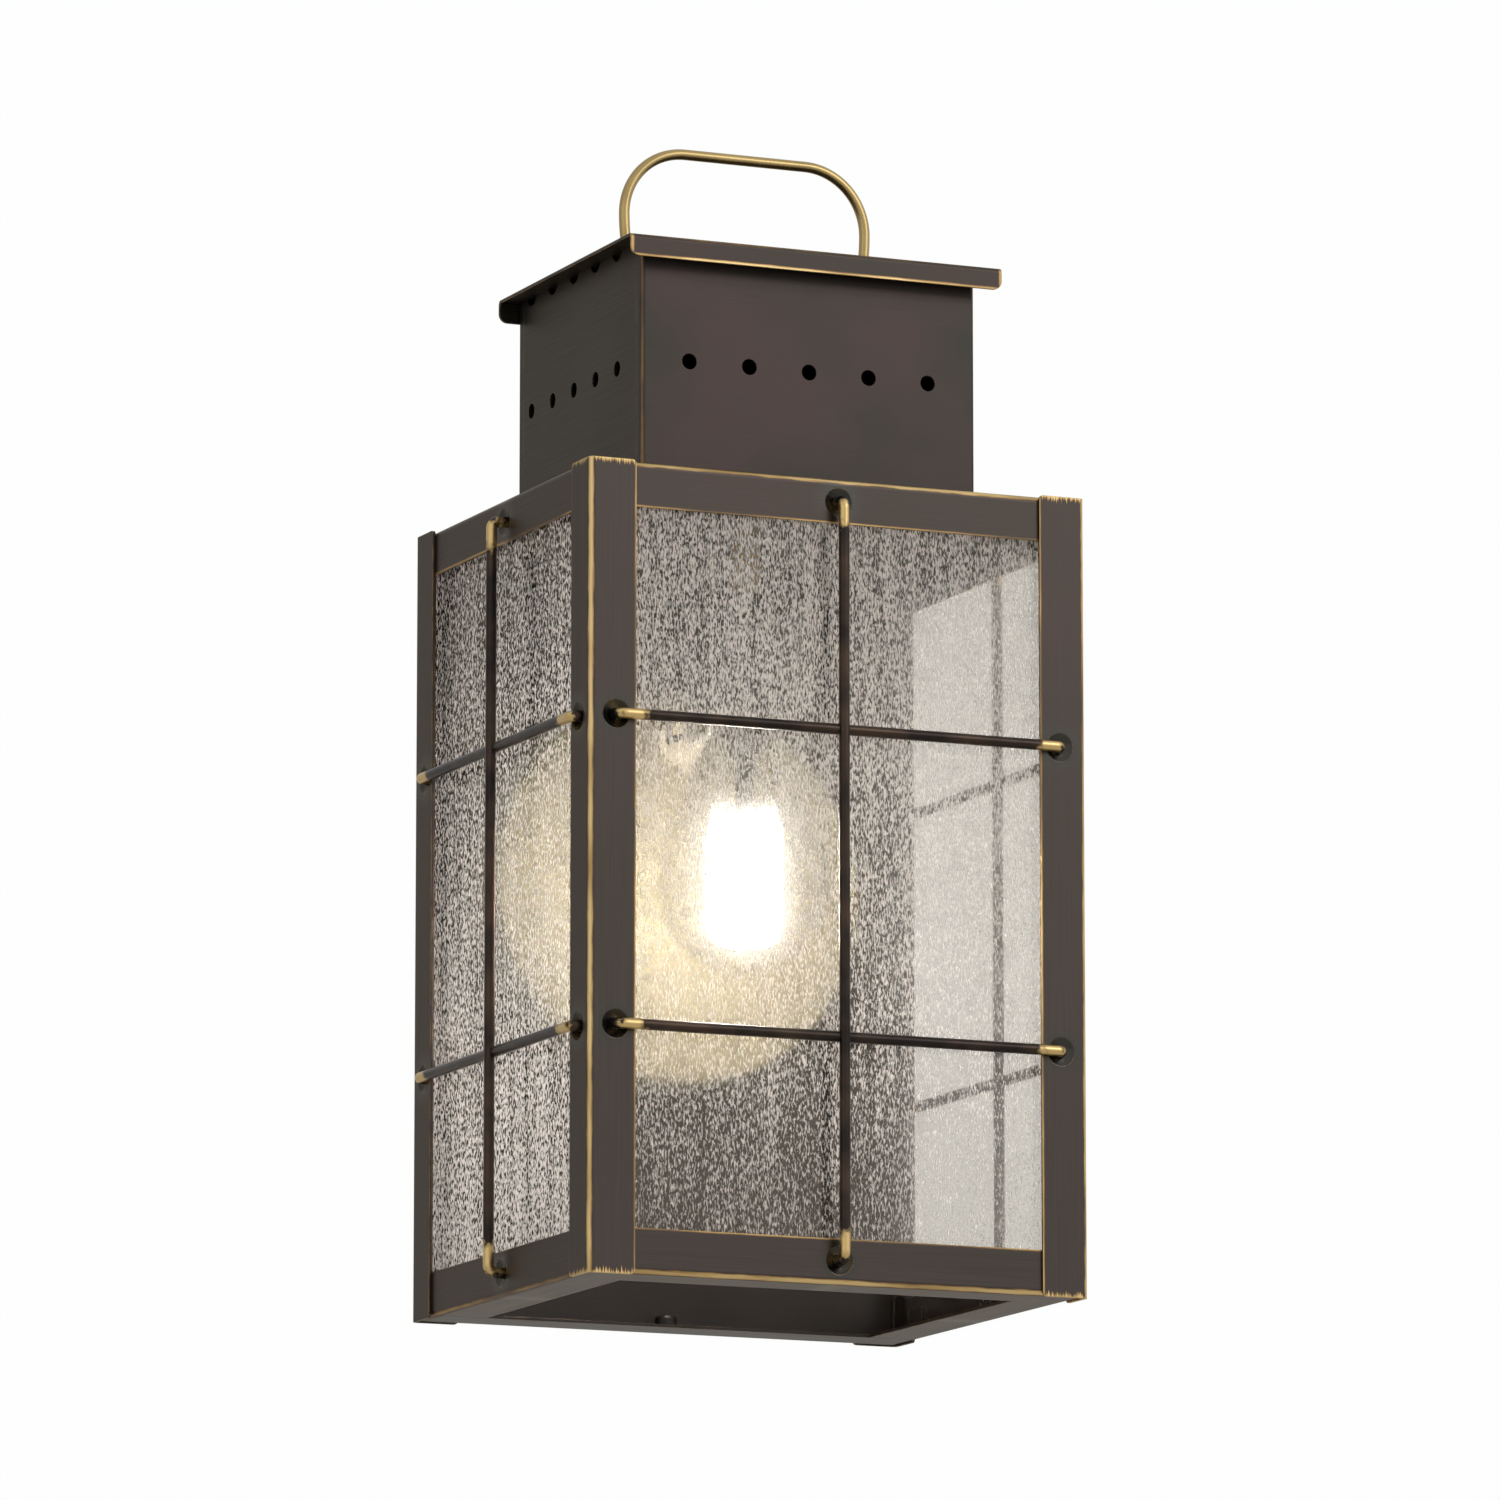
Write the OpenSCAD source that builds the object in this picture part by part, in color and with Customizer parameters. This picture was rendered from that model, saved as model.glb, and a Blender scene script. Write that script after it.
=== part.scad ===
// Square wall lantern with a glazed body, crossed guard rods, a pierced vent box, a flat roof,
// a carrying loop and one lamp that screws into a hanging lampholder.
// The wall is the plane y = 0, the front faces -Y and +Z is up.
// The origin is the centre of the wall strap.

/* [Body] */
// Width of the body over its corner posts
body_w = 178; // [164:1:240]
// Depth of the body over its corner posts
body_d = 152; // [146:1:200]
// Height of the corner posts
body_h = 267; // [240:1:340]
// Height of the wall strap above the foot of the posts
mount_height = 150; // [120:1:170]

/* [Sheet metal] */
// Thickness of the sheet that the body is bent from
sheet = 1; // [0.8:0.1:1.2]
// Outside bend radius of the corner posts
post_bend = 2; // [1.6:0.1:2.6]
// Width of a post's leg on the front and the back
post_face_w = 16.5; // [15.5:0.5:22]
// Width of a post's leg on the sides
post_side_w = 15.5; // [15:0.5:22]
// Rounding of the free corners of the posts
post_corner = 1.5; // [0.5:0.1:2.5]
// Height of the rails between the posts
rail_h = 15; // [14:0.5:20]
// Outside bend radius of the rails
rail_bend = 2.2; // [1.6:0.1:2.6]
// Distance that the rails stop short of the post ends
rail_setback = 0.3; // [0.1:0.1:0.8]
// Depth of the flange at the foot of the rails and the back panel
foot_flange = 18; // [14:1:22]
// Depth of the flange at the head of the rails and the back panel
head_flange = 10; // [8:1:12]

/* [Guard rods] */
// Diameter of the guard rods and the carrying loop
rod_dia = 3.6; // [3:0.1:4]
// Radius of the rods' end bends, on the centre line
rod_bend = 2.6; // [2.3:0.1:3]
// Height of the lower rods above the foot of the posts
rod_lower = 81; // [60:1:100]
// Height of the upper rods above the foot of the posts
rod_upper = 182.5; // [160:0.5:200]
// Distance of the level rods' centre line from the post faces
rod_level_reach = 2; // [1.9:0.1:2.4]
// Distance of the upright rods' centre line from the post faces
rod_upright_reach = 3.4; // [3.2:0.1:4]
// Distance of the rod holes from the edge of the body
dimple_inset = 9.5; // [9:0.1:10]
// Height of the upright rods' holes in the rails, from the rail's outer edge
dimple_rail = 7.9; // [7:0.1:9]
// Diameter of the pressed dimple around each rod hole
dimple_dia = 9.6; // [8:0.1:10]
// Depth of the pressed dimple
dimple_depth = 1.4; // [1:0.1:1.5]

/* [Glazing] */
// Thickness of the textured panes
glass_t = 3; // [2:0.5:4]
// Distance of the panes behind the post faces
glass_inset = 3.7; // [3.6:0.1:5]
// Gap between a pane's head and the top plate
glass_head_gap = 1.7; // [1:0.1:4]
// Width of a glass clip
clip_w = 10; // [6:1:14]
// Thickness of a glass clip
clip_t = 0.8; // [0.5:0.1:1]
// Height that a glass clip stands along its pane
clip_h = 8; // [5:1:12]

/* [Vent box and roof] */
// Width of the vent box
vent_w = 121; // [110:1:130]
// Depth of the vent box
vent_d = 106; // [100:1:112]
// Distance of the vent box's centre behind the middle of the body
vent_offset = 1.6; // [-4:0.2:4]
// Height from the top plate to the underside of the roof
vent_h = 80.3; // [60:0.1:100]
// Width of the returns on the front and back vent panels
vent_return = 4.5; // [3.5:0.1:6]
// Diameter of the vent holes
vent_hole_dia = 5.3; // [4:0.1:7]
// Number of vent holes in each panel
vent_hole_count = 5; // [3:1:5]
// Spacing of the vent holes in the front and back panels
vent_front_pitch = 21.6; // [16:0.1:24]
// Spacing of the vent holes in the side panels
vent_side_pitch = 18.5; // [14:0.1:19]
// Distance that the side panels' holes sit behind the panel's middle
vent_side_shift = 4.4; // [0:0.1:5]
// Height of the vent holes below the underside of the roof
vent_hole_drop = 39; // [25:1:50]
// Radius of the notches in the head of the side panels
vent_notch_r = 4.5; // [2:0.1:5]
// Height that the notches rise above the panel's head, which sets how shallow they are
vent_notch_lift = 2; // [1:0.1:3]
// Distance that the roof stands past the sides of the vent box
roof_side = 6.7; // [4:0.1:14]
// Distance that the roof stands past the front of the vent box
roof_front = 7.3; // [4:0.1:14]
// Height of the roof's front and back lips
roof_lip = 7.5; // [5:0.1:12]
// Radius of the lips' lower corners
roof_corner = 3; // [1:0.5:4]
// Outside bend radius of the roof
roof_bend = 1.6; // [1.3:0.1:2.5]

/* [Carrying loop] */
// Width of the loop over its centre line
loop_w = 88.4; // [70:0.1:100]
// Height of the loop's centre line above the roof
loop_h = 43.4; // [40:0.1:60]
// Radius of the loop's corners, on the centre line
loop_r = 22; // [15:1:24]
// Distance that each foot of the loop turns in
loop_foot_in = 3; // [1:0.1:4]

/* [Wall fixing] */
// Length of the wall strap
strap_l = 112; // [108:1:118]
// Width of the wall strap
strap_w = 22; // [18:1:26]
// Thickness of the wall strap
strap_t = 1.6; // [1.2:0.1:2.4]
// Distance between the two box screw slots
slot_spacing = 88.9; // [86:0.1:90]
// Length of each box screw slot
slot_l = 12; // [8:0.5:14]
// Width of each box screw slot
slot_w = 4.6; // [4:0.1:5.5]
// Distance between the two studs that carry the lantern
stud_spacing = 60; // [50:1:64]
// Diameter of the studs
stud_dia = 4; // [3.5:0.1:5]
// Diameter of the round pan over the wall box
pan_dia = 136; // [132:1:140]
// Distance of the pan's front from the wall
pan_reach = 19; // [17:1:24]
// Width of the pan's rim
pan_rim = 6; // [5:0.5:7]

/* [Lamp] */
// Distance from the top plate down to the lamp's light centre
lamp_drop = 120; // [108:1:135]
// Diameter of the lamp's glass
lamp_dia = 60; // [50:1:66]
// Distance from the lamp's light centre to its end contact
lamp_lcl = 78; // [74:1:84]
// Diameter of the lamp's screw base over its thread
base_dia = 26.1; // [25.8:0.1:26.4]
// Clearance around the lamp's base in the screw shell
base_gap = 0.4; // [0.35:0.05:0.6]
// Outside diameter of the lampholder
holder_dia = 38; // [36:1:44]
// Diameter of the threaded nipple that carries the lampholder
nipple_dia = 10; // [9:0.5:12]
// Diameter of a lead over its insulation
lead_dia = 2.4; // [2:0.1:2.8]

/* [Hidden] */
// Clearance of a hole around the rod, stud or screw in it
fit_gap = 0.05;
// Gap between sheet parts that meet without touching
seam_gap = 0.3;
// Small overlap that keeps cuts clean
cut = 1;

left = -body_w / 2;
right = body_w / 2;
front = -body_d;
foot_z = -mount_height;
head_z = foot_z + body_h;
rail_foot_z = foot_z + rail_setback;
rail_head_z = head_z - rail_setback;
rod_r = rod_dia / 2;

// Clear distance from the body's outside at which a sheet inside the posts may start
corner_clear = post_bend + seam_gap;
// Distance from the rail's outside that a flat plate keeps clear of the inner bend
plate_clear = 2 * sheet + (rail_bend - sheet) + 0.1;
rail_depth = foot_flange + sheet;

// Pressed dimple: a ball that meets the sheet in a circle
dimple_r = dimple_dia / 2;
ball_r = (dimple_r * dimple_r + dimple_depth * dimple_depth) / (2 * dimple_depth);
rod_tail = sheet + dimple_depth - 0.2;

pane_half = body_w / 2 - glass_inset - glass_t - 0.5;
pane_foot_z = rail_foot_z + sheet;
plate_top_z = rail_head_z - sheet;
pane_head_z = plate_top_z - sheet - glass_head_gap;

vent_mid_y = vent_offset - body_d / 2;
vent_front_y = vent_mid_y - vent_d / 2;
vent_back_y = vent_mid_y + vent_d / 2;
vent_side_y = vent_mid_y + vent_side_shift;
roof_under_z = plate_top_z + vent_h;
roof_top_z = roof_under_z + sheet;
vent_hole_z = roof_under_z - vent_hole_drop;
vent_foot_w = 8;
vent_bend = 1.5;

lamp_y = vent_mid_y;
light_z = plate_top_z - sheet - lamp_drop;
tip_z = light_z + lamp_lcl;
base_r = base_dia / 2;
shell_r = base_r + base_gap;
shell_t = 0.5;
contact_disc_r = 10;
insulator_h = 4.5;
base_h = 19;
tip_h = 1.6;
base_top_z = tip_z - tip_h - insulator_h;
base_foot_z = base_top_z - base_h;
holder_r = holder_dia / 2;
holder_foot_z = base_foot_z + 1.5;
holder_h = 38;
holder_bore_h = tip_z + 4.5 - holder_foot_z;
cap_h = 12;
cap_t = 1;
holder_top_z = holder_foot_z + holder_h + cap_t;
nipple_top_z = plate_top_z + 9;
nipple_wall = 1.2;
nut_h = 3.2;
lamp_t = 0.8;
lamp_r = lamp_dia / 2;
base_wall = 1.6;
neck_r = base_r - base_wall - fit_gap;
stem_r = 3.2;
core_r = 12.5;
core_h = 45;
core_corner = 6;
core_t = 1;
stem_flare_h = 14;

stud_r = stud_dia / 2;
stud_x = stud_spacing / 2;
pan_r = pan_dia / 2;
pan_bend = 3;
pan_seat_y = -2 * sheet;
pan_ledge = 6;
pan_hole_r = pan_r - pan_ledge;
loop_tail = 7;
loop_foot_x = loop_w / 2 - loop_foot_in;
loop_drop = loop_h - loop_r;
// Each side below the corner is an arc that ends loop_foot_in nearer the middle
loop_side_r = (loop_foot_in * loop_foot_in + loop_drop * loop_drop) / (2 * loop_foot_in);
hex_af = 7;
washer_t = 0.8;
cap_nut_h = 7;
cap_nut_bore = 5.2;
cap_hex_h = 3.4;
cap_dome_r = 3.4;
cap_skirt_h = 0.8;
cap_skirt_r = 5.5;
stud_proud = 5;

// The leads rise through the nipple, run back and spread a little, come down through the
// top plate, turn back into the pan and end in the connectors
lead_r = lead_dia / 2;
lead_bend = 7;
lead_in_bend = 4;
lead_spread = 3;
lead_offset = 1.6;
lead_setback = 18;
lead_rise = 10;
lead_down_y = vent_back_y - lead_setback;
lead_in_y = -10;
lead_in_z = 50;
lead_run_z = nipple_top_z + lead_rise;
lead_down_run = (lead_down_y - lamp_y) / cos(lead_spread);
lead_in_run = (lead_in_y - lamp_y) / cos(lead_spread);
bushing_r = 8;
bushing_lip = 1.5;
connector_h = 20;
connector_r = 4.3;
connector_grip = 6;
connector_z = lead_in_z - lead_in_bend - connector_grip;

clip_foot = 6;
clip_from_corner = 32;

screw_r = 1.5;
screw_head_r = 2.8;
screw_head_h = 2;
knob_r = 3.7;
knob_h = 4.2;
knob_y = -8;

bronze = "#4e4643";
bronze_dark = "#3d3936";
worn_brass = "#c2a266";
pane_tint = [0.84, 0.83, 0.80, 0.45];
lamp_tint = [0.96, 0.95, 0.90, 0.35];

$fn = 64;

// Bent wire

// Straight wire from the origin along +Z, with its children at its far end
module wire_run(length, r) {
    cylinder(h = length, r = r);
    translate([0, 0, length]) children();
}

// Wire that starts along +Z and bends towards +X, with its children at its far end
module wire_turn(bend, angle, r) {
    translate([bend, 0, 0]) rotate([90, 0, 180]) rotate_extrude(angle = angle)
        translate([bend, 0]) circle(r);
    translate([bend * (1 - cos(angle)), 0, bend * sin(angle)]) rotate([0, angle, 0]) children();
}

// Bent sheet

// Rectangle from the origin whose corner at the origin is round
module bent_corner(a, b, r) {
    translate([r, 0]) square([a - r, b]);
    translate([0, r]) square([a, b - r]);
    translate([r, r]) circle(r);
}

// Section of an angle with its outside corner at the origin and its legs along the axes
module angle_section(a, b, t, r) {
    difference() {
        bent_corner(a, b, r);
        translate([t, t]) bent_corner(a, b, r - t);
    }
}

// Waste outside a rounded corner at the origin, the corner pointing to +X and +Z
module corner_waste() {
    difference() {
        translate([-post_corner, -cut, -post_corner]) cube([post_corner + cut, sheet + 2 * cut, post_corner + cut]);
        translate([-post_corner, 0, -post_corner]) rotate([90, 0, 0])
            cylinder(h = 4 * sheet, r = post_corner, center = true);
    }
}

// Waste at the free edge of a leg of width w, at its head and its foot
module leg_waste(w, z0, z1) {
    translate([w, 0, z1]) corner_waste();
    translate([w, 0, z0]) mirror([0, 0, 1]) corner_waste();
}

// Upright angle from z0 to z1 with its outside corner on the Z axis, its free corners rounded
module angle_post(a, b, z0, z1) {
    difference() {
        translate([0, 0, z0]) linear_extrude(z1 - z0) angle_section(a, b, sheet, post_bend);
        leg_waste(a, z0, z1);
        mirror([1, -1, 0]) leg_waste(b, z0, z1);
    }
}

// Angle that runs along +X, its upright leg at y = 0, its flange towards +Y and its bend at z = 0
module angle_rail(length, flange, height) {
    rotate([90, 0, 90]) linear_extrude(length) angle_section(flange, height, sheet, rail_bend);
}

// Face placement: the outward side of a child is -Y
module on_front(x, z, inset = 0) {
    translate([x, front + inset, z]) children();
}

module on_left(y, z, inset = 0) {
    translate([left + inset, y, z]) rotate([0, 0, -90]) children();
}

module on_right(y, z, inset = 0) {
    translate([right - inset, y, z]) rotate([0, 0, 90]) children();
}

// Material that a dimple presses out behind the sheet
module dimple_back() {
    intersection() {
        translate([0, dimple_depth - ball_r, 0]) sphere(ball_r + sheet);
        translate([-dimple_dia, sheet / 2, -dimple_dia])
            cube([2 * dimple_dia, dimple_depth + 2 * sheet, 2 * dimple_dia]);
    }
}

// Dish and rod hole of a dimple
module dimple_cut() {
    translate([0, dimple_depth - ball_r, 0]) sphere(ball_r);
    rotate([-90, 0, 0]) cylinder(h = 3 * (dimple_depth + sheet), r = rod_r + fit_gap, center = true);
}

// Corner posts

module front_post_at_left() {
    difference() {
        union() {
            translate([left, front, 0]) angle_post(post_face_w, post_side_w, foot_z, head_z);
            for (h = [rod_lower, rod_upper]) {
                on_front(left + dimple_inset, foot_z + h) dimple_back();
                on_left(front + dimple_inset, foot_z + h) dimple_back();
            }
        }
        for (h = [rod_lower, rod_upper]) {
            on_front(left + dimple_inset, foot_z + h) dimple_cut();
            on_left(front + dimple_inset, foot_z + h) dimple_cut();
        }
    }
}

module back_post_at_left() {
    difference() {
        union() {
            translate([left, 0, 0]) mirror([0, 1, 0]) angle_post(post_face_w, post_side_w, foot_z, head_z);
            for (h = [rod_lower, rod_upper]) on_left(-dimple_inset, foot_z + h) dimple_back();
        }
        for (h = [rod_lower, rod_upper]) on_left(-dimple_inset, foot_z + h) dimple_cut();
    }
}

module post_front_left() {
    color(bronze) front_post_at_left();
}

module post_front_right() {
    color(bronze) mirror([1, 0, 0]) front_post_at_left();
}

module post_back_left() {
    color(bronze) back_post_at_left();
}

module post_back_right() {
    color(bronze) mirror([1, 0, 0]) back_post_at_left();
}

// Rails

// Plan of a front rail: clear of the post bends, then mitred to the inner edge of its flange
module front_rail_plan(depth) {
    c = corner_clear;
    e = depth + cut;
    translate([0, 0, foot_z - cut]) linear_extrude(body_h + 2 * cut)
        polygon([[left + c, front], [left + c, front + c], [left + e, front + e],
                 [right - e, front + e], [right - c, front + c], [right - c, front]]);
}

// Plan of a left rail: mitred at the front, square at the back and clear of the back panel's bends
module left_rail_plan(depth) {
    c = corner_clear;
    e = depth + cut;
    b = sheet + rail_bend + seam_gap;
    translate([0, 0, foot_z - cut]) linear_extrude(body_h + 2 * cut)
        polygon([[left, front + c], [left + c, front + c], [left + e, front + e],
                 [left + e, -b], [left, -b]]);
}

module foot_rail_front() {
    x0 = body_w / 2 + cut;
    color(bronze) difference() {
        union() {
            intersection() {
                translate([-x0, front + sheet, rail_foot_z]) angle_rail(2 * x0, foot_flange, rail_h);
                front_rail_plan(rail_depth);
            }
            on_front(0, rail_foot_z + dimple_rail, sheet) dimple_back();
        }
        on_front(0, rail_foot_z + dimple_rail, sheet) dimple_cut();
    }
}

module head_rail_front() {
    x0 = body_w / 2 + cut;
    color(bronze) difference() {
        union() {
            intersection() {
                translate([-x0, front + sheet, rail_head_z])
                    mirror([0, 0, 1]) angle_rail(2 * x0, head_flange, rail_h);
                front_rail_plan(head_flange + sheet);
            }
            on_front(0, rail_head_z - dimple_rail, sheet) dimple_back();
        }
        on_front(0, rail_head_z - dimple_rail, sheet) dimple_cut();
    }
}

// The foot flange stops at the back panel's own flange
module foot_rail_at_left() {
    stop_y = -rail_depth - sheet - seam_gap;
    difference() {
        union() {
            intersection() {
                translate([left + sheet, 0, rail_foot_z])
                    rotate([0, 0, -90]) angle_rail(body_d, foot_flange, rail_h);
                left_rail_plan(rail_depth);
            }
            on_left(-body_d / 2, rail_foot_z + dimple_rail, sheet) dimple_back();
        }
        on_left(-body_d / 2, rail_foot_z + dimple_rail, sheet) dimple_cut();
        translate([left + sheet + rail_bend, stop_y, rail_foot_z - cut])
            cube([rail_depth, rail_depth + 2 * cut, sheet + 2 * cut]);
    }
}

module head_rail_at_left() {
    stop_y = -head_flange - 2 * sheet - seam_gap;
    difference() {
        union() {
            intersection() {
                translate([left + sheet, 0, rail_head_z])
                    mirror([0, 0, 1]) rotate([0, 0, -90]) angle_rail(body_d, head_flange, rail_h);
                left_rail_plan(head_flange + sheet);
            }
            on_left(-body_d / 2, rail_head_z - dimple_rail, sheet) dimple_back();
        }
        on_left(-body_d / 2, rail_head_z - dimple_rail, sheet) dimple_cut();
        translate([left + sheet + rail_bend, stop_y, rail_head_z - sheet - cut])
            cube([rail_depth, rail_depth + 2 * cut, sheet + 2 * cut]);
    }
}

module foot_rail_left() {
    color(bronze) foot_rail_at_left();
}

module foot_rail_right() {
    color(bronze) mirror([1, 0, 0]) foot_rail_at_left();
}

module head_rail_left() {
    color(bronze) head_rail_at_left();
}

module head_rail_right() {
    color(bronze) mirror([1, 0, 0]) head_rail_at_left();
}

// Back panel and top plate

module back_panel() {
    half = body_w / 2 - corner_clear;
    flange_half = body_w / 2 - sheet - rail_bend - seam_gap;
    span = rail_head_z - rail_foot_z;
    color(bronze_dark) difference() {
        intersection() {
            union() {
                translate([half, -sheet, rail_foot_z])
                    rotate([0, 0, 180]) angle_rail(2 * half, foot_flange + sheet, span / 2 + cut);
                translate([half, -sheet, rail_head_z]) mirror([0, 0, 1])
                    rotate([0, 0, 180]) angle_rail(2 * half, head_flange + sheet, span / 2 + cut);
            }
            union() {
                translate([-half, -sheet - rail_bend, foot_z]) cube([2 * half, body_d, body_h]);
                translate([-flange_half, -body_d / 2, foot_z]) cube([2 * flange_half, body_d, body_h]);
            }
        }
        rotate([90, 0, 0]) cylinder(h = 4 * sheet + cut, r = pan_hole_r, center = true);
        for (a = [45:90:315]) rotate([0, a, 0]) translate([pan_r + pan_rim / 2, 0, 0])
            rotate([90, 0, 0]) cylinder(h = 4 * sheet + cut, r = screw_r + fit_gap, center = true);
        translate([0, knob_y, rail_foot_z]) cylinder(h = 3 * sheet, r = screw_r + fit_gap, center = true);
    }
}

module top_plate() {
    half = body_w / 2 - plate_clear;
    y0 = front + plate_clear;
    color(bronze_dark) translate([0, 0, plate_top_z - sheet]) difference() {
        translate([-half, y0, 0]) cube([2 * half, -plate_clear - y0, sheet]);
        translate([0, lamp_y, 0]) cylinder(h = 3 * sheet, r = nipple_dia / 2 + fit_gap, center = true);
        translate([0, lead_down_y, 0]) cylinder(h = 3 * sheet, r = bushing_r - 1, center = true);
        for (a = [22.5:45:359]) translate([0, lamp_y, 0]) rotate([0, 0, a])
            translate([vent_d / 4, 0, 0]) cylinder(h = 3 * sheet, r = 4.5, center = true);
        at_vent_screws() cylinder(h = 3 * sheet, r = screw_r + fit_gap, center = true);
    }
}

// Glazing

module pane_front() {
    color(pane_tint) translate([-pane_half, front + glass_inset, pane_foot_z])
        cube([2 * pane_half, glass_t, pane_head_z - pane_foot_z]);
}

module pane_at_left() {
    y0 = front + glass_inset;
    translate([left + glass_inset, y0, pane_foot_z])
        cube([glass_t, -rail_depth / 2 - y0, pane_head_z - pane_foot_z]);
}

module pane_left() {
    color(pane_tint) pane_at_left();
}

module pane_right() {
    color(pane_tint) mirror([1, 0, 0]) pane_at_left();
}

// Clip that stands on z = 0 with its upright against the pane's inner face at y = 0
module glass_clip() {
    translate([-clip_w / 2, 0, 0]) {
        cube([clip_w, clip_foot, clip_t]);
        cube([clip_w, clip_t, clip_h]);
    }
}

// Clips at the foot and the head of a pane whose inner face is at y = 0
module clip_pair() {
    translate([0, 0, pane_foot_z]) glass_clip();
    translate([0, 0, plate_top_z - sheet]) mirror([0, 0, 1])
        translate([-clip_w / 2, 0, 0]) {
            cube([clip_w, clip_foot, clip_t]);
            cube([clip_w, clip_t, clip_h + glass_head_gap]);
        }
}

module glass_clips() {
    inner = glass_inset + glass_t;
    color(bronze_dark) {
        for (x = [left + clip_from_corner, right - clip_from_corner])
            translate([x, front + inner, 0]) clip_pair();
        for (y = [front + clip_from_corner, -clip_from_corner]) {
            translate([left + inner, y, 0]) rotate([0, 0, -90]) clip_pair();
            translate([right - inner, y, 0]) rotate([0, 0, 90]) clip_pair();
        }
    }
}

// Guard rods

// Rod along X, reach in front of the sheet's face at y = 0, with both ends turned in through it
module staple(span, reach, tail) {
    straight = span - 2 * rod_bend;
    translate([0, -reach, 0]) rotate([0, 90, 0]) cylinder(h = straight, r = rod_r, center = true);
    for (side = [0, 1]) mirror([side, 0, 0]) translate([straight / 2, -reach, 0])
        rotate([0, 90, 0]) rotate([0, 0, 90]) wire_turn(rod_bend, 90, rod_r)
            wire_run(reach + tail - rod_bend, rod_r);
}

// Level rod, halved where the upright rod crosses it
module level_rod(span) {
    difference() {
        staple(span, rod_level_reach, rod_tail);
        translate([0, -rod_upright_reach, 0]) cylinder(h = 4 * rod_dia, r = rod_r + fit_gap, center = true);
    }
}

module upright_rod() {
    span = rail_head_z - rail_foot_z - 2 * dimple_rail;
    translate([0, 0, (rail_head_z + rail_foot_z) / 2]) rotate([0, 90, 0])
        staple(span, rod_upright_reach + sheet, rod_tail);
}

module rod_front_upright() {
    color(bronze) translate([0, front + sheet, 0]) upright_rod();
}

module rod_front_upper() {
    color(bronze) on_front(0, foot_z + rod_upper) level_rod(body_w - 2 * dimple_inset);
}

module rod_front_lower() {
    color(bronze) on_front(0, foot_z + rod_lower) level_rod(body_w - 2 * dimple_inset);
}

module rod_left_upright() {
    color(bronze) translate([left + sheet, -body_d / 2, 0]) rotate([0, 0, -90]) upright_rod();
}

module rod_left_upper() {
    color(bronze) on_left(-body_d / 2, foot_z + rod_upper) level_rod(body_d - 2 * dimple_inset);
}

module rod_left_lower() {
    color(bronze) on_left(-body_d / 2, foot_z + rod_lower) level_rod(body_d - 2 * dimple_inset);
}

module rod_right_upright() {
    color(bronze) translate([right - sheet, -body_d / 2, 0]) rotate([0, 0, 90]) upright_rod();
}

module rod_right_upper() {
    color(bronze) on_right(-body_d / 2, foot_z + rod_upper) level_rod(body_d - 2 * dimple_inset);
}

module rod_right_lower() {
    color(bronze) on_right(-body_d / 2, foot_z + rod_lower) level_rod(body_d - 2 * dimple_inset);
}

// Vent box

// Places of the screws that hold the front and back vent panels to the top plate
module at_vent_screws() {
    inset = sheet + vent_foot_w / 2 + 0.5;
    for (x = [-vent_w / 3, vent_w / 3], y = [vent_front_y + inset, vent_back_y - inset])
        translate([x, y, 0]) children();
}

// Front panel with side returns, a foot and a head flange; its outer face is at y = 0
module vent_face_panel() {
    half = vent_w / 2;
    inner = half - vent_return - cut;
    difference() {
        union() {
            translate([-half, 0, 0]) linear_extrude(vent_h)
                angle_section(half + 1, vent_return, sheet, vent_bend);
            mirror([1, 0, 0]) translate([-half, 0, 0])
                linear_extrude(vent_h) angle_section(half + 1, vent_return, sheet, vent_bend);
            for (z = [0, vent_h - sheet]) translate([-inner, sheet / 2, z])
                cube([2 * inner, vent_foot_w + sheet / 2, sheet]);
        }
        for (i = [0:vent_hole_count - 1])
            translate([(i - (vent_hole_count - 1) / 2) * vent_front_pitch, 0, vent_h - vent_hole_drop])
                rotate([90, 0, 0]) cylinder(h = 3 * sheet, r = vent_hole_dia / 2, center = true);
        for (x = [-vent_w / 3, vent_w / 3]) translate([x, sheet + vent_foot_w / 2 + 0.5, 0])
            cylinder(h = 3 * sheet, r = screw_r + fit_gap, center = true);
    }
}

module vent_front() {
    color(bronze) translate([0, vent_front_y, plate_top_z]) vent_face_panel();
}

module vent_back() {
    color(bronze) translate([0, vent_back_y, plate_top_z]) mirror([0, 1, 0]) vent_face_panel();
}

module vent_side_panel() {
    y0 = vent_front_y + vent_return;
    difference() {
        translate([-vent_w / 2, y0, plate_top_z]) cube([sheet, vent_d - 2 * vent_return, vent_h]);
        for (i = [0:vent_hole_count - 1]) {
            y = vent_side_y + (i - (vent_hole_count - 1) / 2) * vent_side_pitch;
            translate([-vent_w / 2, y, vent_hole_z]) rotate([0, 90, 0])
                cylinder(h = 3 * sheet, r = vent_hole_dia / 2, center = true);
            translate([-vent_w / 2, y, roof_under_z + vent_notch_lift]) rotate([0, 90, 0])
                cylinder(h = 3 * sheet, r = vent_notch_r, center = true);
        }
    }
}

module vent_left() {
    color(bronze) vent_side_panel();
}

module vent_right() {
    color(bronze) mirror([1, 0, 0]) vent_side_panel();
}

module vent_screws() {
    color("#8d8a84") at_vent_screws() {
        translate([0, 0, plate_top_z - sheet - screw_head_h]) cylinder(h = screw_head_h, r = screw_head_r);
        translate([0, 0, plate_top_z - sheet - cut]) cylinder(h = 3 * sheet + 2, r = screw_r);
    }
}

// Roof

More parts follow.
